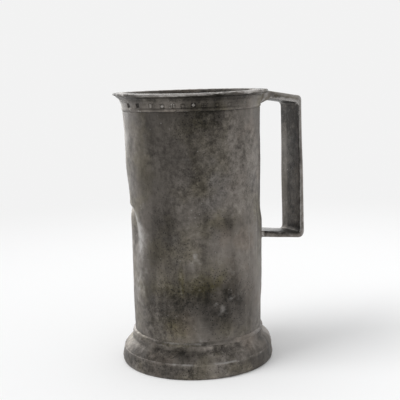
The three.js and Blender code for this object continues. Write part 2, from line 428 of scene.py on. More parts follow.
def spots(table, angle, z):
    """The sum of a table's spots at a place, each fading out round its middle."""
    total = np.zeros(np.broadcast(angle, z).shape)
    for at, height, half_turn, half_height, strength in table:
        across = turn_between(angle, seen(at)) / math.radians(half_turn)
        up = (z - height) / half_height
        total += strength * np.exp(-0.5 * (across ** 2 + up ** 2))
    return total


def stains_and_painted_light(angle, z):
    return spots(STAINS_AND_PAINTED_LIGHT, angle, z)


# ---- aged pewter ----


class Nodes:
    """Short calls for building one material's node tree. Each gives the new node's output socket."""

    def __init__(self, name):
        self.material = bpy.data.materials.new(name)
        self.material.use_nodes = True
        self.tree = self.material.node_tree
        self.tree.nodes.clear()
        self.output = self.tree.nodes.new("ShaderNodeOutputMaterial")
        self.shader = self.tree.nodes.new("ShaderNodeBsdfPrincipled")
        self.link(self.shader.outputs["BSDF"], self.output.inputs["Surface"])
        self.place = self.node("TexCoord", "Object", {})

    def link(self, source, target):
        self.tree.links.new(source, target)

    def put(self, socket, value):
        """Links another node's output to a socket, or sets a plain value on it."""
        if isinstance(value, bpy.types.NodeSocket):
            self.link(value, socket)
        else:
            socket.default_value = value

    def shade(self, inputs):
        """Gives the surface shader its inputs, by socket name."""
        for socket, value in inputs.items():
            self.put(self.shader.inputs[socket], value)

    def node(self, kind, output, inputs, **settings):
        """A node of any kind. Its inputs are given by socket name or number, its settings by name."""
        node = self.tree.nodes.new("ShaderNode" + kind)
        for name, value in settings.items():
            setattr(node, name, value)
        for socket, value in inputs.items():
            self.put(node.inputs[socket], value)
        return node.outputs[output]

    def layer(self, name):
        """One of the mesh's own layers, such as wear_and_highlight."""
        return self.node("Attribute", "Fac", {}, attribute_name=name)

    def stretch(self, scale, turn=(0, 0, 0)):
        """Places for a texture: a small scale draws it out along that axis."""
        return self.node("Mapping", "Vector", {"Vector": self.place, "Scale": scale, "Rotation": turn})

    def noise(self, scale, detail=4, rough=0.55, warp=0.0, vector=None, seed=0.0):
        inputs = {"Scale": scale, "Detail": detail, "Roughness": rough, "Distortion": warp, "W": seed}
        inputs["Vector"] = vector or self.place
        return self.node("TexNoise", "Fac", inputs, noise_dimensions="4D")

    def cells(self, scale, vector=None):
        """The distance to the nearest of scattered points."""
        return self.node("TexVoronoi", "Distance", {"Scale": scale, "Vector": vector or self.place})

    def spread(self, value, low, high, out_low=0.0, out_high=1.0):
        """A smooth step from one output to another, as the value goes from low to high."""
        inputs = {"Value": value, "From Min": low, "From Max": high, "To Min": out_low, "To Max": out_high}
        return self.node("MapRange", "Result", inputs, interpolation_type="SMOOTHSTEP")

    def combine(self, operation, first, second):
        return self.node("Math", "Value", {0: first, 1: second}, operation=operation)

    def total(self, *terms, plus=0.0):
        """The sum of each value times its gain, and of a number."""
        for value, gain in terms:
            plus = self.node("Math", "Value", {0: value, 1: gain, 2: plus}, operation="MULTIPLY_ADD")
        return plus

    def ramp(self, value, stops):
        """Colours along a value. The stops may lie anywhere: they are brought to 0 to 1 first."""
        low, high = stops[0][0], stops[-1][0]
        node = self.tree.nodes.new("ShaderNodeValToRGB")
        self.link(self.total((value, 1 / (high - low)), plus=-low / (high - low)), node.inputs["Fac"])
        elements = node.color_ramp.elements
        elements[0].position, elements[0].color = 0.0, stops[0][1]
        elements[1].position, elements[1].color = 1.0, stops[-1][1]
        for at, tint in stops[1:-1]:
            elements.new((at - low) / (high - low)).color = tint
        return node.outputs["Color"]

    def mix(self, amount, first, second, kind="MIX"):
        inputs = {"Factor": amount, "A": first, "B": second}
        return self.node("Mix", "Result", inputs, data_type="RGBA", blend_type=kind)

    def tinted(self, base, amount, source, tint):
        """The base, giving way by the amount to a source colour multiplied by a tint."""
        return self.mix(amount, base, self.mix(1.0, source, (*tint, 1), "MULTIPLY"))

    def emission(self, strength):
        return self.node("Emission", "Emission", {"Strength": strength})

    def bump(self, height, distance, strength, under=None):
        inputs = {"Strength": strength, "Distance": distance, "Height": height}
        if under is not None:
            inputs["Normal"] = under
        return self.node("Bump", "Normal", inputs)


def grey(level, warmth=0.0):
    """A grey as a linear colour. Warmth moves it towards brown."""
    return (level * (1 + 0.5 * warmth), level, level * (1 - 0.5 * warmth), 1.0)


# The oxide's greys, dark to light: (how light the place is, grey level, warmth).
OXIDE_GREYS = (
    (-0.1, 0.020, 0.27),
    (0.25, 0.078, 0.25),
    (0.5, 0.138, 0.23),
    (0.75, 0.200, 0.21),
    (1.1, 0.290, 0.18),
)
OLIVE = (1.03, 1.0, 0.72)
YELLOW_GREEN = (1.25, 1.2, 0.55)
BROWN = (1.06, 0.95, 0.86)
COOL = (0.96, 0.99, 1.05)
METALLIC = 0.8  # oxide dulls the metal
STAIN_AND_SHADE_DARKNESS = 0.34
SCRATCH_BARENESS = 0.22
SPECK_BARENESS = 0.65


def aged_pewter(name, tone=1.0, mottled=1.0, olive=0.5, bare=0.30, roughness=0.5, seed=0.0):
    """Oxidised pewter: mottled grey oxide, darker stains, olive and brown tints, bare bright edges,
    pits, specks and fine scratches, and the painted shade and painted highlights that the mesh's layers
    bring. tone scales the grey, mottled says how much it varies, and bare is the grey level of the bare
    metal."""
    n = Nodes(name)
    clouds = n.noise(22, 5, 0.55, seed=seed)
    mottle = n.noise(95, 6, 0.62, seed=seed + 3)
    flecks = n.noise(190, 4, 0.6, seed=seed + 4)
    fine = n.noise(330, 4, 0.6, seed=seed + 5)
    grain = n.noise(1100, 2, 0.6, seed=seed + 6)
    drips = n.noise(70, 5, 0.6, vector=n.stretch((1, 1, 0.16)), seed=seed + 7)
    busy = n.spread(n.noise(17, 3, seed=seed + 9), 0.40, 0.60, 0.35, 1.25)
    tint = n.noise(30, 4, 0.5, 0.3, seed=seed + 11)

    # Oxide, stains and painted shade. Each sum's last number takes its noises' middle value to where it
    # belongs.
    clouding = n.total((clouds, 0.9 * mottled), (mottle, 0.3 * mottled), (drips, 1.15 * mottled))
    speckling = n.total((flecks, 0.8 * mottled), (fine, 0.9 * mottled), (grain, 0.6 * mottled))
    speckling = n.total((speckling, 1.0), plus=-1.15 * mottled)
    speckling = n.combine("MULTIPLY", speckling, busy)
    uneven = n.total((clouding, 1.0), (speckling, 1.0), plus=0.5 - 1.175 * mottled)
    patchy = n.total((mottle, 2.2), (flecks, 2.0), plus=-1.1)
    # the grime_and_shade layer brings stains and painted shade, and below zero painted highlights
    stain_and_shade = n.combine("MULTIPLY", n.layer("grime_and_shade"), patchy)
    lightness = n.total((stain_and_shade, -STAIN_AND_SHADE_DARKNESS), (uneven, 1.0))
    oxide = n.ramp(lightness, [(at, grey(level * tone, warmth)) for at, level, warmth in OXIDE_GREYS])

    # Tints. Brown and cool grey take the place of olive where they meet.
    base = n.tinted(oxide, n.spread(tint, 0.50, 0.66, 0, olive), oxide, OLIVE)
    tarnish = n.combine("MULTIPLY", n.layer("olive"), n.spread(mottle, 0.3, 0.7))
    base = n.tinted(base, tarnish, base, YELLOW_GREEN)
    base = n.tinted(base, n.spread(tint, 0.46, 0.34, 0, 0.4), oxide, BROWN)
    base = n.tinted(base, n.spread(n.noise(26, 3, seed=seed + 12), 0.54, 0.68, 0, 0.7), oxide, COOL)

    # Pits, which are dark, and most of all where the metal is stained and where shade is painted.
    pit_patches = n.total((n.noise(60, 3, seed=seed + 13), 1.0), (n.layer("grime_and_shade"), 0.12))
    pit_patches = n.spread(pit_patches, 0.47, 0.62)
    pits = n.combine("MULTIPLY", n.spread(n.cells(620), 0.34, 0.12), pit_patches)
    pitting = n.total((n.layer("grime_and_shade"), 0.6), plus=0.4)
    base = n.mix(n.combine("MULTIPLY", pits, pitting), base, grey(0.02 * tone, 0.1))

    # Bare metal: bright specks, scratches, and where it is worn; the wear_and_highlight layer also brings
    # painted highlights.
    turned_place = n.stretch((1, 1, 1), (0.4, 0.9, 0.2))
    specks = n.spread(n.cells(260, vector=turned_place), 0.13, 0.07)
    specks = n.combine("MULTIPLY", specks, n.spread(n.noise(45, 3, seed=seed + 17), 0.52, 0.64))
    upright = n.noise(260, 2, 0.5, vector=n.stretch((1, 1, 0.03), (0.12, 0.05, 0)), seed=seed + 19)
    level = n.noise(280, 2, 0.5, vector=n.stretch((0.05, 0.05, 1), (0.1, -0.16, 0)), seed=seed + 23)
    scratches = n.combine("ADD", n.spread(upright, 0.66, 0.74), n.spread(level, 0.68, 0.75))
    scratches = n.combine("MULTIPLY", scratches, n.spread(n.noise(34, 3, seed=seed + 29), 0.45, 0.62))
    rubbed_and_lit = n.total((n.layer("wear_and_highlight"), 1.0), (mottle, 1.5), (clouds, 1.6), (fine, 0.8), plus=-1.95)
    rubbed_and_lit = n.spread(rubbed_and_lit, 0.25, 1.0)
    bare_and_highlight = n.combine("MAXIMUM", rubbed_and_lit, n.combine("MULTIPLY", scratches, SCRATCH_BARENESS))
    bare_and_highlight = n.combine("MAXIMUM", bare_and_highlight, n.combine("MULTIPLY", specks, SPECK_BARENESS))
    colour = n.mix(bare_and_highlight, base, grey(bare, 0.09))
    rough = n.total((mottle, 0.45), (grain, 0.25), (bare_and_highlight, -0.14), plus=roughness - 0.35)

    surface = n.bump(n.noise(62, 4, 0.5, 0.2, seed=seed + 31), 0.0012, 0.22)
    surface = n.bump(mottle, 0.0005, 0.30, surface)
    surface = n.bump(fine, 0.0002, 0.35, surface)
    surface = n.bump(pits, -0.0003, 0.4, surface)
    surface = n.bump(scratches, -0.00008, 0.3, surface)
    n.shade({"Base Color": colour, "Metallic": METALLIC, "Roughness": rough, "Normal": surface})
    return n.material


drum_metal = aged_pewter("drum_pewter", tone=0.97, olive=0.4, bare=0.34, seed=1.0)
collar_metal = aged_pewter("collar_pewter", tone=1.05, mottled=0.8, bare=0.42, roughness=0.46, seed=21.0)
foot_metal = aged_pewter("foot_pewter", tone=1.2, mottled=1.3, seed=41.0)
inside_metal = aged_pewter("floor_pewter", tone=0.8, olive=0.3, roughness=0.55, seed=61.0)
handle_metal = aged_pewter("handle_pewter", mottled=0.9, olive=0.3, roughness=0.40, seed=81.0)
solder_metal = aged_pewter("solder_pewter", tone=1.15, olive=0.3, roughness=0.44, seed=101.0)


def finish_piece(piece, slot, material, *nodes):
    """Gives a piece its material and its body, and hides the CAD nodes that it stands for. slot is not
    used.
    """
    piece.data.materials.append(material)
    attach(piece, "root")
    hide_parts(*nodes)


# ---- drum ----


def drum_radius(z):
    taper = (DRUM_TOP_RADIUS - DRUM_BASE_RADIUS) / (DRUM_TOP - DRUM_BASE)
    return DRUM_BASE_RADIUS + taper * (z - DRUM_BASE)


drum_lumps = ripples(15, 40, (14, 44), (7, 22), 0.022)


def drum_relief(angle, r, z, normal):
    return drum_lumps(angle, z)


def drum_outside(r, z):
    return r > drum_radius(z) - WALL / 2


def drum_grime_and_shade(angle, r, z):
    """Dark inside, most of all near the floor. Outside: the stains with their painted light, and painted
    shade on the furrow's far wall.
    """
    inside = 0.9 + 0.5 * bell(z - FLOOR, 22)
    # painted shade: the furrow's far wall is darkened
    far_wall = turn_between(angle, furrow_line(z)) + math.radians(7)
    furrow_shade = 0.8 * bell(far_wall, math.radians(5)) * ease((z - 80) / 12) * ease((104 - z) / 6)
    return np.where(drum_outside(r, z), stains_and_painted_light(angle, z) + furrow_shade, inside)


def drum_rubbed_and_lit(angle, r, z):
    """Rubbed metal and a painted highlight along the near wall of the furrow, and rubbed metal in a few
    small places.
    """
    up_wall = turn_between(angle, furrow_line(z)) / FURROW_NEAR_WALL
    # painted highlight: the pale band along the furrow's near wall, which is partly rubbed metal
    wall = (0.5 + 0.38 * ease((z - 74) / 14)) * bell(up_wall - 0.42, 0.4)
    wall = wall * ease((z - 32) / 30) * ease((109 - z) / 3)
    return (wall + spots(RUBS, angle, z)) * drum_outside(r, z)


visible_from = SHOULDER_TOP - 1    # below this the foot hides the drum's outside
drum = revolve(
    "drum_wall",
    [
        (DRUM_BASE_RADIUS - WALL, DRUM_BASE, 0.3, 0, 1.0),
        (DRUM_BASE_RADIUS, DRUM_BASE, 0.3, 0, 5.0),
        (drum_radius(visible_from), visible_from, 0, 0, 1.2),
        (DRUM_TOP_RADIUS, DRUM_TOP, 0.2, 0, 1.0),
        (DRUM_TOP_RADIUS - WALL, DRUM_TOP, 0.2, 0, 2.6),
    ],
    uneven_angles(-112, -42, 150, 220),
    drum_relief,
    drum_grime_and_shade,
    rubbed_and_lit=drum_rubbed_and_lit,
)
finish_piece(drum, "drum_pewter", drum_metal, "drum")

# ---- lip and band ----

# Plain punches along the band: the seen angle of each, and the device left raised in its middle.
PUNCHES = (
    (-59, "none"),
    (-46.5, "none"),
    (-33, "bar"),
    (-23, "dot"),
    (-14.5, "dots"),
    (-6.5, "dot"),
    (1.5, "lozenge"),
    (9.5, "dots"),
    (20, "dot"),
    (31, "lozenge"),
)
PUNCH_DEPTH = 0.5
PUNCH_HALF_WIDTH = 1.8
PUNCH_HALF_HEIGHT = 1.6
PUNCH_SLOPE = 0.5  # width of a punch's sloping sides
PUNCH_HEIGHT = (BAND_LOW + BAND_HIGH) / 2
FAINT_PUNCHES = 5  # the punches beyond this seen angle were struck more weakly
PARTLY_FILLED = 0.45  # how deep the ground is beside a device, against an empty punch
BAND_INSIDE = BAND_RADIUS - 0.6  # anything nearer the axis than this is inside the collar
EDGE_LOW = RIM_TOP - 2.7  # the lower side of the lip's edge
lip_nibbles = ripples(37, 24, (14, 50), (30, 60), 0.05)


def punch_device(kind, across, up):
    """1 where the device inside a punch stands up to the band's face, 0 in the sunk ground."""
    if kind == "lozenge":
        return ease((1.45 - np.abs(across) - np.abs(up)) * 3)
    if kind == "bar":
        return ease((0.9 - np.abs(across)) * 3) * ease((1.4 - np.abs(up)) * 3)
    if kind == "dot":
        return ease((1.05 - np.hypot(across, up)) * 4)
    if kind == "dots":
        return ease((0.6 - np.hypot(np.abs(across) - 0.75, np.abs(up) - 0.65)) * 5)
    return np.zeros(np.broadcast(across, up).shape)


def punched(angle, r, z, ground, device):
    """A value on the band's outside that is zero but in the punches, where it is one number on the
    ground of each and another on its device."""
    total = np.zeros(np.broadcast(angle, z).shape)
    draw = random.Random(5)
    for at, kind in PUNCHES:
        tilt = draw.uniform(-0.12, 0.12)
        force = draw.uniform(0.75, 1.05) * (0.55 if at > FAINT_PUNCHES else 1)
        across = turn_between(angle, seen(at)) * BAND_RADIUS
        up = z - PUNCH_HEIGHT - draw.uniform(-0.25, 0.25)
        across, up = across + tilt * up, up - tilt * across
        edge = np.minimum(PUNCH_HALF_WIDTH - np.abs(across), PUNCH_HALF_HEIGHT - np.abs(up))
        inside = force * ease(edge / PUNCH_SLOPE)
        raised = punch_device(kind, across, up)
        depth = 1.0 if kind == "none" else PARTLY_FILLED
        total += inside * (ground * depth * (1 - raised) + device * raised)
    return np.where((r > BAND_INSIDE) & (np.abs(z - PUNCH_HEIGHT) < 3), total, 0)


def left_tip(angle):
    """1 at the lip's thin left end, falling to 0 round the front and the back."""
    return near(angle, LEFT_SIDE, 24)


def collar_relief(angle, r, z, normal):
    """The punches, small bumps, a nick in the lip, a front rim that sags, and a lip that is thin at its
    left end and worn down at the handle."""
    on_lip = ease((r - BAND_RADIUS - 2) / 3)
    facing_up = normal[:, 1] > 0
    bumps = lip_nibbles(angle, z) * (1 - 0.9 * left_tip(angle))
    nick = -0.9 * near(angle, 17, 2.2)
    worn_and_lit = -1.0 * near(angle, 118, 15) * facing_up
    thin = -1.2 * left_tip(angle) * ~facing_up
    sag = -0.8 * near(angle, 2, 42) * facing_up * ease((z - RIM_TOP + 3) / 2)
    punches = punched(angle, r, z, -PUNCH_DEPTH, 0.15)
    return on_lip * (1.6 * bumps + nick + worn_and_lit + thin) + 0.4 * bumps + punches + sag


def collar_grime_and_shade(angle, r, z):
    """Dirt in the punches; painted shade, with some dirt, in the cove under the lip; darker inside and on
    the lip at its two ends.
    """
    # painted shade: the cove under the lip's overhang is darkened, with some dirt
    cove_shade = 0.55 * bell(z - 178, 1.5) * ease((r - BAND_RADIUS + 0.1) / 1.0)
    inside = 0.9 * ease(BAND_INSIDE - r)
    punches = punched(angle, r, z, 1.6, -0.3)
    left_end = 1.3 * left_tip(angle) * (r > LIP_RADIUS - 4)
    right_end = 2.0 * near(angle, 100, 25) * (r > BORE + 1.5) * (z > EDGE_LOW)
    return 0.8 * stains_and_painted_light(angle, z) + cove_shade * (1 - left_tip(angle)) + inside + punches + left_end + right_end


def collar_rubbed(angle, r, z):
    """The punches' devices are rubbed bright. The lip's two ends are less rubbed than its front."""
    devices = punched(angle, r, z, 0.0, 0.62)
    right_end = near(angle, 95, 28)
    return devices - (0.7 * left_tip(angle) + 0.9 * right_end) * (r > LIP_RADIUS - 4)


collar = revolve(
    "lip_and_band",
    [
        (BORE, DRUM_TOP + 0.1, 0.1, 0, 1.0),
        (BAND_RADIUS - 0.45, DRUM_TOP + 0.1, 0.1, 0, 0.5),
        (BAND_RADIUS + 0.2, RIDGE, 0.9, 0.3, 0.4),
        (BAND_RADIUS, RIDGE + 1.0, 0.5, 0, 0.28),
        (BAND_RADIUS + BAND_FLARE, BAND_HIGH, 0.8, 0, 0.28),
        (BAND_RADIUS + BAND_FLARE + 0.4, BAND_HIGH + 0.9, 0.5, 0.1, 0.3),
        (BAND_RADIUS + BAND_FLARE + 0.9, EDGE_LOW - 0.9, 2.4, 0, 0.4),
        (LIP_RADIUS - 0.6, EDGE_LOW + 0.1, 0.6, 0.3, 0.35),
        (LIP_RADIUS, EDGE_LOW + 0.7, 0.7, 0.6, 0.3),
        (LIP_RADIUS - 0.05, RIM_TOP - 0.05, 1.1, 0.85, 0.5),
        (BORE + 1.6, RIM_TOP, 1.4, 0.4, 0.6),
        (BORE, RIM_TOP - 2.4, 1.5, 0, 1.2),
    ],
    uneven_angles(-64, 36, 520, 190),
    collar_relief,
    collar_grime_and_shade,
    rubbed_and_lit=collar_rubbed,
)
finish_piece(collar, "collar_pewter", collar_metal, "lip_collar")

# ---- foot ----

PLINTH = 10.2  # height of the plinth
PLINTH_TOP_RADIUS = FOOT_RADIUS - 1.0
SHOULDER_CENTRE = (41.2, 7.8)  # radius and height of the middle of the shoulder's arc
SHOULDER_ARC = 9.4
NECK_LOW = 17.0
NECK_RADIUS = 44.6
FOOT_BORE = 43.6
FOOT_HOLLOW = 46.8  # radius of the hollow under the foot, at its mouth
HOLLOW_TOP_RADIUS = 45.6
LEDGE_RADIUS = 38.6  # the ledge under the bottom disc reaches in to here
LEDGE_LOW = 2.2
LEDGE_TOP = 4.2
foot_lumps = ripples(43, 30, (5, 30), (9, 40), 0.09)
foot_dings = ripples(47, 20, (20, 60), (6, 18), 0.035)


def foot_relief(angle, r, z, normal):
    """Lumps and dings, and a shoulder that stands fuller on the right than on the left."""
    fuller = np.cos(angle - seen(90)) * bell(z - 14.5, 2.8) * (r > FOOT_BORE + 0.6)
    return (foot_lumps(angle, z) + foot_dings(angle, z)) * (z > 0.6) + fuller


def foot_grime(angle, r, z):
    """Dirt underneath and on the plinth, and darker in the corner above it."""
    outside = r > FOOT_HOLLOW + 1.2
    below = 0.5 * ~outside * (z < 5)
    plinth = 0.6 * ease((PLINTH - 0.5 - z) / 1.5) * outside
    corner = 0.12 * bell(z - PLINTH - 1, 0.8) * outside
    return stains_and_painted_light(angle, z) + corner + below + plinth


def foot_rubbed(angle, r, z):
    """The ridges at the top of the plinth and at the neck are rubbed in places, mostly in front."""
    ground = np.zeros(z.shape)
    broken = 0.1 + 0.9 * ease(5 * foot_lumps(angle, ground) + 4 * foot_dings(angle, ground) + 0.55)
    plinth = (0.3 + 0.7 * near(angle, 5, 32)) * (r > FOOT_RADIUS - 2.1)
    neck = near(angle, -22, 30) * (r > NECK_RADIUS - 0.6)
    at_plinth = 0.8 * plinth * bell(z - PLINTH + 0.1, 0.6)
    at_neck = 0.6 * neck * bell(z - SHOULDER_TOP, 0.9)
    return broken * (at_plinth + at_neck)


def shoulder_corners():
    """The foot's rounded shoulder, from the plinth up to the neck."""
    corners = []
    for degrees in range(19, 67, 6):
        turn = math.radians(degrees)
        r = SHOULDER_CENTRE[0] + SHOULDER_ARC * math.cos(turn)
        corners.append((r, SHOULDER_CENTRE[1] + SHOULDER_ARC * math.sin(turn), 0, 0.0, 0.8))
    return corners


foot = revolve(
    "foot_moulding",
    [
        (FOOT_HOLLOW, 0, 0.4, 0.2, 1.0),
        (FOOT_RADIUS - 0.9, 0, 1.2, 0.25, 0.6),
        (FOOT_RADIUS, 2.4, 2.4, 0, 0.8),
        (PLINTH_TOP_RADIUS + 0.3, (PLINTH + 3) / 2, 6, 0, 0.8),
        (PLINTH_TOP_RADIUS + 0.05, PLINTH - 0.9, 0.4, 0.1, 0.3),
        (PLINTH_TOP_RADIUS + 0.05, PLINTH, 0.6, 0.1, 0.3),
        (PLINTH_TOP_RADIUS - 0.4, PLINTH + 0.3, 0.5, 0, 0.3),
        *shoulder_corners(),
        (NECK_RADIUS + 0.2, NECK_LOW, 0.8, 0, 0.5),
        (NECK_RADIUS, SHOULDER_TOP, 0.15, 0, 0.6),
        (FOOT_BORE, SHOULDER_TOP - 0.1, 0.1, 0, 3.0),
        (FOOT_BORE, LEDGE_TOP, 0.1, 0, 1.5),
        (LEDGE_RADIUS, LEDGE_TOP, 0.1, 0, 0.7),
        (LEDGE_RADIUS, LEDGE_LOW, 0.4, 0.2, 1.2),
        (HOLLOW_TOP_RADIUS, LEDGE_LOW, 0.5, 0, 0.7),
    ],
    even_angles(300),
    foot_relief,
    foot_grime,
    rubbed_and_lit=foot_rubbed,
)
finish_piece(foot, "foot_pewter", foot_metal, "foot_ring")

# ---- bottom disc ----


def disc_relief(angle, r, z, normal):
    """Shallow turning rings, and a floor that has sagged a little."""
    rings = 0.05 * np.cos(r * 2.4) + 0.08 * bell(r - 12, 0.8) - 0.08 * bell(r - 24, 0.9)
    return rings * np.abs(normal[:, 1])


def disc_grime(angle, r, z):
    """Darkest in the corner where it meets the wall."""
    return 0.5 + 0.5 * bell(r - 39, 6) - 0.4 * bell(r, 14)


disc = revolve(
    "bottom_disc_turned",
    [
        (0, DRUM_BASE, 0, 0, 0.7),
        (DISC_RADIUS, DRUM_BASE, 0.3, 0.2, 0.7),
        (DISC_RADIUS, FLOOR, 0.3, 0.1, 0.7),
        (0, FLOOR, 0, 0, 0.7),
    ],
    even_angles(160),
    disc_relief,
    disc_grime,
    closed=False,
    warp=0.0,
)
finish_piece(disc, "floor_pewter", inside_metal, "bottom_disc")

# ---- solder runs ----

SEAM_LOW = SHOULDER_TOP - 0.7
SEAM_TOP = SHOULDER_TOP + 1.6
SEAM_INSIDE = drum_radius(SEAM_LOW) - 0.9  # the seam's hidden side lies in the drum's wall
solder_beads = ripples(53, 30, (12, 60), (8, 20), 0.07)


def solder_relief(angle, r, z, normal):
    return solder_beads(angle, z)


def solder_grime(angle, r, z):
    return 0.2 + 0.25 * stains_and_painted_light(angle, z)


def seam_rubbed(angle, r, z):
    """The solder's upper edge is rubbed along part of the front."""
    stretch = near(angle, -20, 30)
    return 0.6 * stretch * bell(z - SEAM_TOP, 0.6)


foot_seam = revolve(
    "foot_seam_solder",
    [
        (SEAM_INSIDE, SEAM_LOW, 0.1, 0, 0.4),
        (NECK_RADIUS - 0.05, SEAM_LOW, 0.2, 0, 0.4),
        (NECK_RADIUS - 0.25, SEAM_TOP, 0.9, 0, 0.4),
        (SEAM_INSIDE, SEAM_TOP + 1.5, 0.2, 0, 0.5),
    ],
    even_angles(420),
    solder_relief,
    solder_grime,
    rubbed_and_lit=seam_rubbed,
)
finish_piece(foot_seam, "solder", solder_metal, "foot_solder")

floor_seam = revolve(
    "floor_seam_solder",
    [
        (DISC_RADIUS - 1.8, FLOOR, 0.1, 0, 0.4),
        (DISC_RADIUS + 0.25, FLOOR, 0.1, 0, 0.4),
        (DISC_RADIUS + 0.25, FLOOR + 1.9, 0.1, 0, 0.4),
        (DISC_RADIUS - 0.5, FLOOR + 0.6, 1.4, 0.1, 0.4),
    ],
    even_angles(300),
    solder_relief,
    solder_grime,
    warp=0.0,
)
finish_piece(floor_seam, "solder", solder_metal, "floor_solder")

# ---- handle ----

# Lines of the strap, seen from its edge: how far out from the mug's axis, and how high.
ROOT = 46.0  # both arms start this far out, at the mug's wall
REACH_TOP = HANDLE_REACH - 1.4  # the upper corner stands in from the lower one
GRIP_TOP = 2.7  # the grip's thickness at its top
GRIP_LOW = 4.4  # and at its bottom
ARM_TOP = {"root": 181.6, "corner": 175.6}
ARM_UNDER = {"root": 175.7, "corner": 170.6}
LOW_TOP = {"root": 83.4, "corner": 78.0}
LOW_UNDER = {"root": 78.7, "corner": 73.4}
INNER_ROUNDING = 3.4
STRAP_EDGE = 0.75  # how far in the rounding of the strap's edges starts
FACE_POINTS = 18
EDGE_POINTS = 6
BEND_STEPS = 12
RUN_STEPS = (40, 96, 40)  # along the upper arm, the grip and the lower arm
UPPER_BEND = RUN_STEPS[0] + BEND_STEPS / 2
LOWER_BEND = RUN_STEPS[0] + BEND_STEPS + RUN_STEPS[1] + BEND_STEPS / 2


def rounded_route(corners, count):
    """Points at even steps of each stretch along a line with rounded corners. Both sides of the strap
    use the same steps, so that point i inside faces point i outside."""
    points = []
    for i in range(len(corners) - 1):
        (start, start_round), (stop, stop_round) = corners[i], corners[i + 1]
        start, stop = np.array(start, float), np.array(stop, float)
        along = (stop - start) / np.linalg.norm(stop - start)
        first, last = start + along * start_round, stop - along * stop_round
        for k in range(count[i]):
            points.append(first + (last - first) * k / count[i])
        if stop_round:
            onward = np.array(corners[i + 2][0], float) - stop
            leave = stop + onward / np.linalg.norm(onward) * stop_round
            for k in range(BEND_STEPS):
                t = k / BEND_STEPS
                points.append((1 - t) ** 2 * last + 2 * t * (1 - t) * stop + t * t * leave)
    points.append(np.array(corners[-1][0], float))
    return np.array(points)


outer_route = rounded_route(
    [
        ((ROOT, ARM_TOP["root"]), 0),
        ((REACH_TOP, ARM_TOP["corner"]), 2.6),
        ((HANDLE_REACH, LOW_UNDER["corner"]), 6.2),
        ((ROOT, LOW_UNDER["root"]), 0),
    ],
    RUN_STEPS,
)
inner_route = rounded_route(
    [
        ((ROOT, ARM_UNDER["root"]), 0),
        ((REACH_TOP - GRIP_TOP, ARM_UNDER["corner"]), INNER_ROUNDING),
        ((HANDLE_REACH - GRIP_LOW, LOW_TOP["corner"]), INNER_ROUNDING),
        ((ROOT, LOW_TOP["root"]), 0),
    ],
    RUN_STEPS,
)


def strap_section():
    """Once round the strap, as (place across its width in mm, side, drop). Side is 0 on the inner face,
    1 on the outer face and 0.5 on the two edges. Drop is how much of the edge's rounding is taken off."""
    half = HANDLE_WIDTH / 2
    flat = half - STRAP_EDGE
    loop = [(-flat + 2 * flat * k / FACE_POINTS, 1.0, 0.0) for k in range(FACE_POINTS + 1)]
    turns = [math.pi / 2 * k / EDGE_POINTS for k in range(1, EDGE_POINTS)]
    rounding = [(flat + STRAP_EDGE * math.sin(turn), 1 - math.cos(turn)) for turn in turns]
    loop += [(y, 1.0, drop) for y, drop in rounding]
    loop.append((half, 0.5, 0.0))
    loop += [(y, 0.0, drop) for y, drop in reversed(rounding)]
    return loop + [(-y, 1.0 - side, drop) for y, side, drop in loop]


def strap_crust(i, y, side):
    """The pale crust on the inner face at the upper bend, thickest at the edge nearer the camera."""
    beyond = 1.0 if i < UPPER_BEND + 4 else 0.3
    return beyond * bell(i - UPPER_BEND + 9, 12) * (side == 0) * math.exp(-(y + HANDLE_WIDTH / 2) / 3)


def strap_wear(i, y, side, crust, speck):
    """The edges and the outside of both bends are rubbed, and the crust is speckled with bare metal."""
    near_edge = math.exp(-(HANDLE_WIDTH / 2 - abs(y)) / 0.5)
    edges = 0.75 * near_edge * (0.4 if side == 0.5 else 1) * (0.4 if i > LOWER_BEND else 1)
    bends = bell(i - UPPER_BEND, 5) + bell(i - LOWER_BEND, 5)
    return edges + 0.25 * bends * side + 1.15 * crust * (1 + 1.2 * speck)


def strap_grime_and_shade(i, y, side, from_root, crust, speck):
    """Painted shade and dirt on the inner face, most of all under the upper corner; painted shade on the
    near half of the upper arm's underside and on the lower arm's upper face, painted light on the near
    half of the upper arm's top face; darker at the roots.
    """
    on_arm = i < RUN_STEPS[0] + BEND_STEPS
    on_lower_arm = i > LOWER_BEND + BEND_STEPS / 2
    # painted shade under the upper arm's near half and on the lower arm's upper face; painted light on the
    # near half of the upper arm's top face
    darkening = (1 - 1.4 * side) * on_arm * (y < 0) * (1 - crust) + 0.6 * on_lower_arm * (1 - side)
    if side < 1:
        # painted shade and dirt on the inner face: dark but for the far edge, darkest under the upper
        # corner
        inner_face = 0.65 + 0.95 * ease((4.5 - y) / 2.5) + 1.3 * bell(i - UPPER_BEND - 12, 7)
        darkening = max(darkening, inner_face if side == 0 else 0.0) + 0.45 * math.exp(-from_root / 5)
    return darkening - 1.6 * crust * min(speck, 0)


def under_rim(x, y, z):
    """A height on the handle, held below the rim where the place is over the lip."""
    return min(z, UNDER_RIM) if math.hypot(x, y) < LIP_RADIUS else z


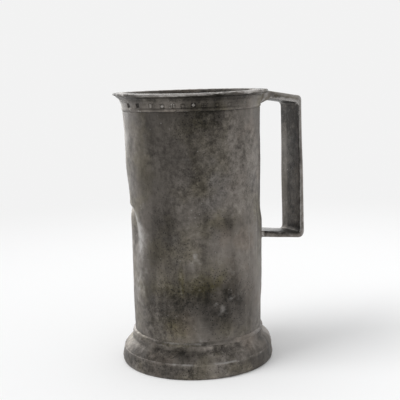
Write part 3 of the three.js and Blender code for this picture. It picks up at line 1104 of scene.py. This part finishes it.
def strap(name):
    """The handle: the section carried along between the inner and the outer line of the strap. Both
    faces are slightly crowned and wavy, and the width wanders a little."""
    loop = strap_section()
    half = HANDLE_WIDTH / 2
    draw_face = ripples(71, 16, (1, 4), (14, 60), 0.08)
    speckle = ripples(73, 24, (14, 36), (2.4, 9), 0.5)
    vertices, wear_and_highlight, grime_and_shade, olive = [], [], [], []
    length = 0.0
    for i, (outside, inside) in enumerate(zip(outer_route, inner_route)):
        if i:
            before = (outer_route[i - 1] + inner_route[i - 1]) / 2
            length += float(np.linalg.norm((outside + inside) / 2 - before))
        thickness = np.linalg.norm(outside - inside)
        outward = (outside - inside) / thickness
        narrowing = 0.25 * math.sin(length / 21) + 0.15 * math.sin(length / 9 + 1)
        for y, side, drop in loop:
            place = np.array(y / 12.0), np.array(length)
            wave, speck = float(draw_face(*place)), float(speckle(*place))
            depth = side * thickness
            if side != 0.5:
                crown = 0.45 * (1 - (y / half) ** 2) - 0.2
                depth += (drop * STRAP_EDGE - crown) * (1 if side == 0 else -1) + 0.6 * wave
            x, z = inside + outward * depth
            width = y * (1 - narrowing / half) + 0.3 * wave
            vertices.append((AXIS_X + x, width, under_rim(x, width, z)))
            crust = strap_crust(i, y, side)
            wear_and_highlight.append(strap_wear(i, y, side, crust, speck))
            grime_and_shade.append(strap_grime_and_shade(i, y, side, x - ROOT, crust, speck))
            olive.append(0.7 * crust)
    faces = tube_faces(len(outer_route), len(loop))
    return object_from(name, vertices, faces, {"wear_and_highlight": wear_and_highlight, "grime_and_shade": grime_and_shade, "olive": olive})


handle = strap("strap_handle")
finish_piece(handle, "handle_pewter", handle_metal, "handle")

# ---- solder under the arms ----


def wall_at(y, z):
    """How far out along the handle's direction the mug's wall is, beside the middle of the handle."""
    radius = drum_radius(min(z, DRUM_TOP)) + float(out_of_true(np.array(0.0), np.array(float(z))))
    return math.sqrt(radius ** 2 - min(abs(y), radius) ** 2)


def arm_solder(name, top, under, reach, below, beside, above, seed):
    """A skirt round an arm's root. It is thin where it leaves the arm, hollow-faced, and widest where
    it meets the wall. below, beside and above say by how many mm it stands out from the arm there."""
    draw = ripples(seed, 18, (3, 12), (3, 8), 0.34)
    half = HANDLE_WIDTH / 2 - 0.2
    root = (top["root"] + under["root"]) / 2
    slope_top = (top["corner"] - top["root"]) / (REACH_TOP - ROOT)
    slope_under = (under["corner"] - under["root"]) / (REACH_TOP - ROOT)
    steps, around = 16, 72
    squareness = 0.32             # 1 would make the skirt's section round, and 0 would make it square
    vertices, wear_and_highlight, grime_and_shade = [], [], []
    for i in range(steps + 1):
        out = reach * (1 - i / steps)
        spread = (1 - out / reach) ** 1.6
        for k in range(around):
            turn = FULL_TURN * k / around
            c, s = math.cos(turn), math.sin(turn)
            aside = math.copysign(abs(c) ** squareness, c)
            level = math.copysign(abs(s) ** squareness, s)
            x = wall_at(half * aside, root) - 0.5 + out
            z_top = top["root"] + slope_top * (x - ROOT)
            z_low = under["root"] + slope_under * (x - ROOT)
            lump = float(draw(np.array(turn), np.array(out)))
            rise = spread * ((above if level > 0 else below) + lump) + 0.02
            y = aside * (half + spread * (beside + 0.5 * lump) + 0.02)
            z = (z_top + z_low) / 2 + level * ((z_top - z_low) / 2 + rise)
            vertices.append((AXIS_X + x, y, under_rim(x, y, z)))
            wear_and_highlight.append(0.3 + 0.8 * lump)
            grime_and_shade.append(0.35 + 0.4 * spread)
    faces = tube_faces(steps + 1, around, inside_out=True)
    return object_from(name, vertices, faces, {"wear_and_highlight": wear_and_highlight, "grime_and_shade": grime_and_shade})


upper_solder = arm_solder(
    "upper_arm_fillet", ARM_TOP, ARM_UNDER, reach=17, below=8.0, beside=1.6, above=1.6, seed=91
)
finish_piece(upper_solder, "solder", solder_metal, "upper_arm_solder")
lower_solder = arm_solder(
    "lower_arm_fillet", LOW_TOP, LOW_UNDER, reach=7, below=3.8, beside=1.4, above=0.5, seed=97
)
finish_piece(lower_solder, "solder", solder_metal, "lower_arm_solder")

# ---- floor, light and camera ----

PAPER = {
    "Base Color": (0.8, 0.8, 0.8, 1),
    "Roughness": 0.9,
    "Specular IOR Level": 0.0,
    "Emission Color": (1, 1, 1, 1),
    "Emission Strength": 0.10,
}
FAR_GLOW = 0.89
LIT_FLOOR = 250  # mm from the middle: the floor is lit paper up to here,
PLAIN_FLOOR = 750  # and an even glow from here on
AIM_HEIGHT = 0.09  # in metres: half way up the mug


def studio_paper():
    """Lit paper, giving way to an even glow where the floor's layer far is 1."""
    n = Nodes("studio_paper")
    n.shade(PAPER)
    near_and_far = {"Fac": n.layer("far"), 1: n.shader.outputs["BSDF"], 2: n.emission(FAR_GLOW)}
    n.link(n.node("MixShader", "Shader", near_and_far), n.output.inputs["Surface"])
    return n.material


def backdrop():
    """A pale floor that curves up all round into a wall, so that it has no edge in any view."""
    flat, bend, top = 900, 800, 1200
    profile = [(flat * k / 30, 0.0) for k in range(1, 31)]
    for k in range(1, 13):
        turn = math.pi / 2 * k / 12
        profile.append((flat + bend * math.sin(turn), bend * (1 - math.cos(turn))))
    profile.append((flat + bend, top))
    around = 96
    turns = [FULL_TURN * i / around for i in range(around)]
    vertices = [(0.0, 0.0, 0.0)]
    vertices += [(r * math.cos(turn), r * math.sin(turn), z) for r, z in profile for turn in turns]
    faces = []
    for i in range(around):
        j = (i + 1) % around
        faces.append((0, 1 + i, 1 + j))
        for k in range(len(profile) - 1):
            low, high = 1 + k * around, 1 + (k + 1) * around
            faces.append((low + i, high + i, high + j, low + j))
    far = [ease((math.hypot(x, y) - LIT_FLOOR) / (PLAIN_FLOOR - LIT_FLOOR)) for x, y, z in vertices]
    floor = object_from("studio_floor", vertices, faces, {"far": far})
    floor.data.materials.append(studio_paper())


def screen_glow(degrees):
    """How bright the reflected screen is at a seen angle: dim beside the camera, bright at the left
    behind the mug, and fairly bright on the right."""
    left = (degrees + 153 + 180) % 360 - 180
    right = (degrees - 118 + 180) % 360 - 180
    return 0.25 + 3.0 * bell(left, 26) + 0.85 * bell(right, 38)


def reflected_screen():
    """A tall round screen that only reflections see: it shapes the light and dark bands down the metal
    and leaves the light on the rest alone."""
    around, radius, top = 72, 950, 1600
    vertices, faces, glow = [], [], []
    for k in range(around):
        degrees = 360 * k / around
        angle = seen(degrees)
        vertices += [(radius * math.cos(angle), radius * math.sin(angle), z) for z in (0.0, top)]
        glow += [screen_glow(degrees)] * 2
        m = (k + 1) % around
        faces.append((2 * k, 2 * m, 2 * m + 1, 2 * k + 1))
    screen = object_from("reflected_screen", vertices, faces, {"glow": glow})
    n = Nodes("screen_cloth")
    n.link(n.emission(n.layer("glow")), n.output.inputs["Surface"])
    screen.data.materials.append(n.material)
    screen.visible_camera = False
    screen.visible_diffuse = False
    screen.visible_shadow = False
    screen.visible_transmission = False


def light(name, kind, power):
    data = bpy.data.lights.new(name, kind)
    data.energy = power
    return linked(name, data)


def softbox(name, azimuth, distance, height, size, power):
    """A soft square light, aimed at the middle of the mug. Its azimuth is a seen angle in degrees, and
    its sizes are in metres."""
    lamp = light(name, "AREA", power)
    lamp.data.shape = "RECTANGLE"
    lamp.data.size = lamp.data.size_y = size
    angle = seen(azimuth)
    lamp.location = (distance * math.cos(angle), distance * math.sin(angle), height)
    aimed = Vector((AXIS_X * MM, 0, AIM_HEIGHT)) - lamp.location
    lamp.rotation_euler = aimed.to_track_quat("-Z", "Y").to_euler()
    lamp.visible_camera = False


def window_light(name, azimuth, elevation, softness, strength):
    """Even light over the whole stage from one side, which throws the mug's soft shadow."""
    lamp = light(name, "SUN", strength)
    lamp.data.angle = math.radians(softness)
    across, up = math.cos(math.radians(elevation)), math.sin(math.radians(elevation))
    toward = Vector((across * math.cos(seen(azimuth)), across * math.sin(seen(azimuth)), up))
    lamp.rotation_euler = toward.to_track_quat("Z", "Y").to_euler()
    lamp.visible_glossy = False


backdrop()
reflected_screen()
window_light("window_left", azimuth=-68, elevation=49, softness=34, strength=1.42)
softbox("overhead", azimuth=-90, distance=0.25, height=1.6, size=1.0, power=4)

world = bpy.data.worlds.new("studio_air")
bpy.context.scene.world = world
world.use_nodes = True
air = world.node_tree.nodes["Background"]
air.inputs["Color"].default_value = (0.98, 0.99, 1.0, 1)
air.inputs["Strength"].default_value = 0.55
bpy.context.scene.view_settings.view_transform = "Standard"

CAMERA_DISTANCE = 0.5559
CAMERA_HEIGHT = 0.1927
CAMERA_TILT = 8.63  # degrees below level
CAMERA_PAN = 0.39  # degrees to the right of the mug's axis
CAMERA_ROLL = -1.72
CAMERA_LENS = 74.78  # focal length in mm, for a sensor 36 mm wide
camera = linked("view_camera", bpy.data.cameras.new("view_camera"))
camera.data.sensor_width = 36
camera.data.lens = CAMERA_LENS
camera.matrix_world = (
    Matrix.Translation((
        AXIS_X * MM + CAMERA_DISTANCE * math.cos(FRONT),
        CAMERA_DISTANCE * math.sin(FRONT),
        CAMERA_HEIGHT,
    ))
    @ Matrix.Rotation(math.radians(VIEW_AZIMUTH - CAMERA_PAN), 4, "Z")
    @ Matrix.Rotation(math.radians(90 - CAMERA_TILT), 4, "X")
    @ Matrix.Rotation(math.radians(CAMERA_ROLL), 4, "Z")
)
bpy.context.scene.camera = camera
